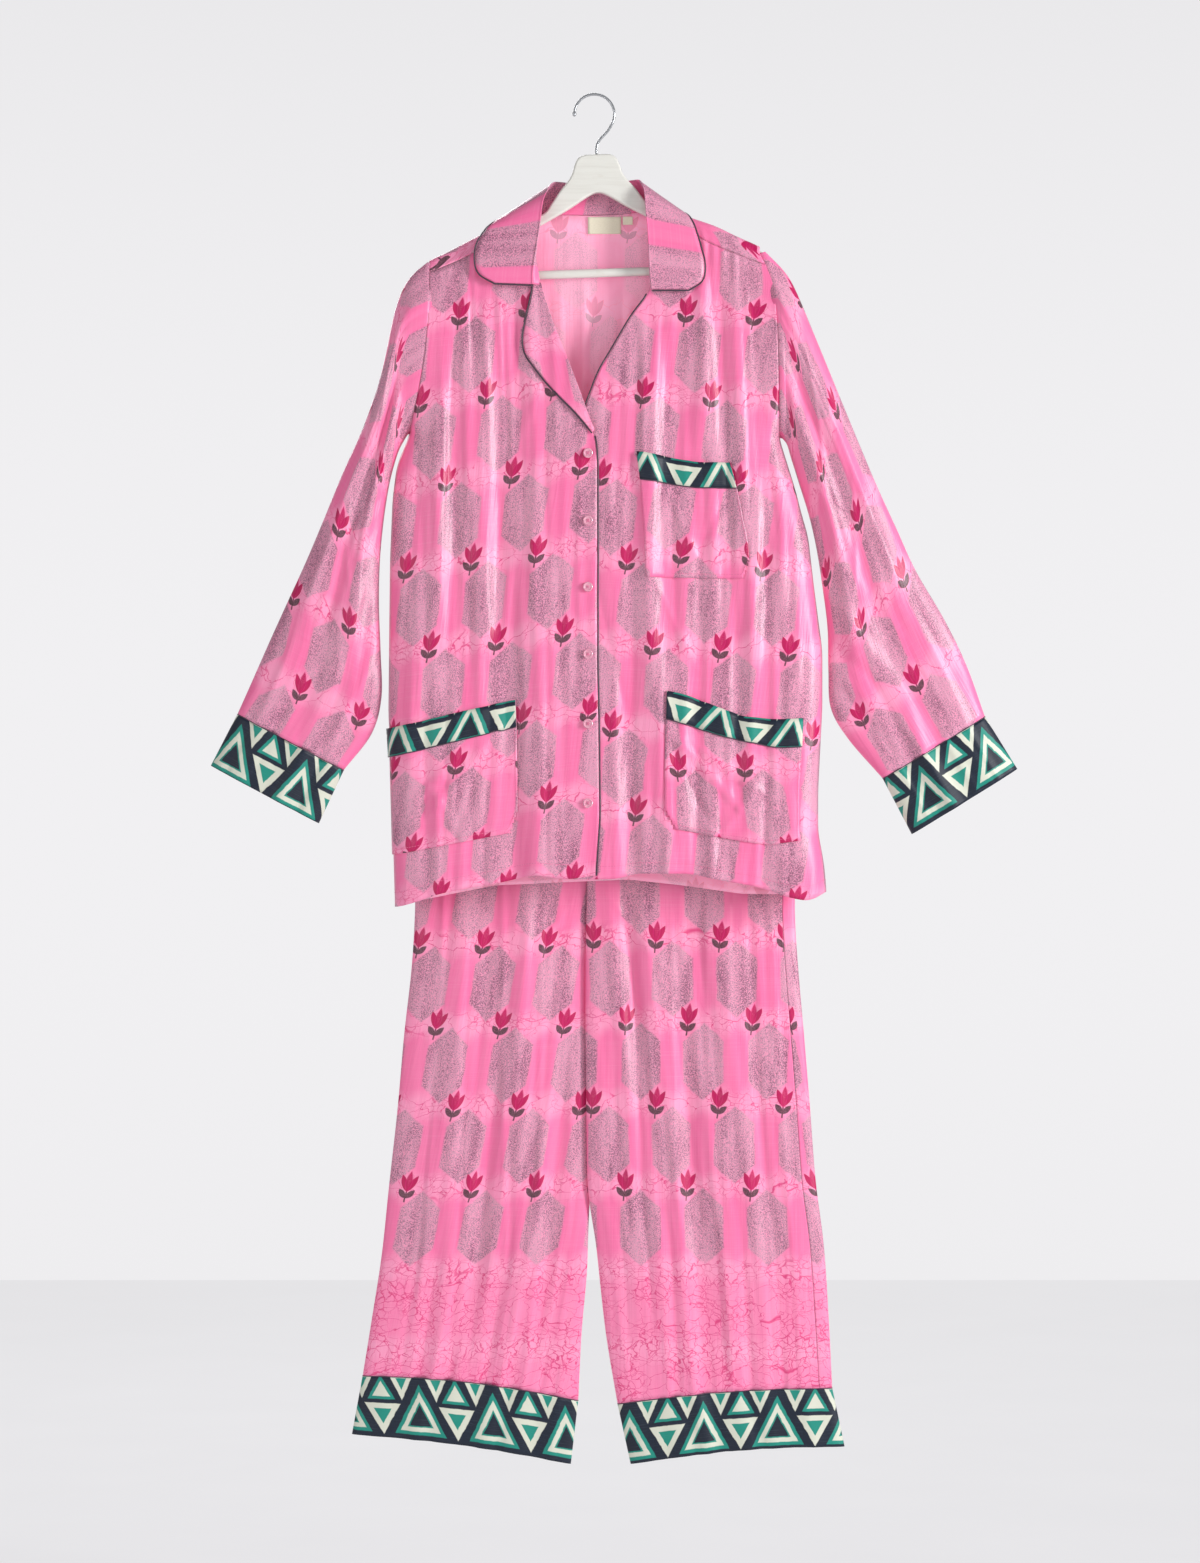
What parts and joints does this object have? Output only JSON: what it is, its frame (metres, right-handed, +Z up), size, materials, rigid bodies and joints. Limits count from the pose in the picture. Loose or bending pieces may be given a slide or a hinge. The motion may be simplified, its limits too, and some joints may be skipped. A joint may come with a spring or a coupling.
{
  "type": "pyjama set on a hanger",
  "caption": "Long-sleeved pyjama top with a notched collar and patch pockets on a shaped hanger, with wide-legged trousers hung flat behind it.",
  "frame": {"origin": "inner top of the hook's bend, where a rail carries the hanger", "axes": "+Z up, -Y out of the garment's front, +X to the viewer's right"},
  "size_m": [0.9683, 0.094, 1.6515],
  "materials": {
    "cloth": "silky printed satin weave, pink ground",
    "band": "silky printed satin weave, navy ground",
    "piping": "satin-covered cord, dark slate",
    "wood": "wood painted off-white, eggshell",
    "wire": "plated wire, polished",
    "button": "pearly, slightly clear pink plastic",
    "label": "woven tape, blank"
  },
  "bodies": {
    "root": {"top_front_left": "cloth", "top_front_right": "cloth", "top_back": "cloth", "sleeve_left": "cloth", "sleeve_right": "cloth", "collar": "cloth", "lapel": "cloth", "pocket_chest": "cloth", "pocket_lower_left": "cloth", "pocket_lower_right": "cloth", "trouser_front_left": "cloth", "trouser_front_right": "cloth", "trouser_back_left": "cloth", "trouser_back_right": "cloth", "waistband": "cloth", "cuff_left": "band", "cuff_right": "band", "trouser_border_left": "band", "trouser_border_right": "band", "pocket_chest_band": "band", "pocket_lower_left_band": "band", "pocket_lower_right_band": "band", "piping_collar": "piping", "piping_lapel": "piping", "piping_front": "piping", "piping_slope": "piping", "hanger_body": "wood", "hanger_bar": "wood", "hanger_hook": "wire", "button_1": "button", "button_2": "button", "button_3": "button", "button_4": "button", "button_5": "button", "button_6": "button", "label_main": "label", "label_size": "label"}
  },
  "joints": []
}
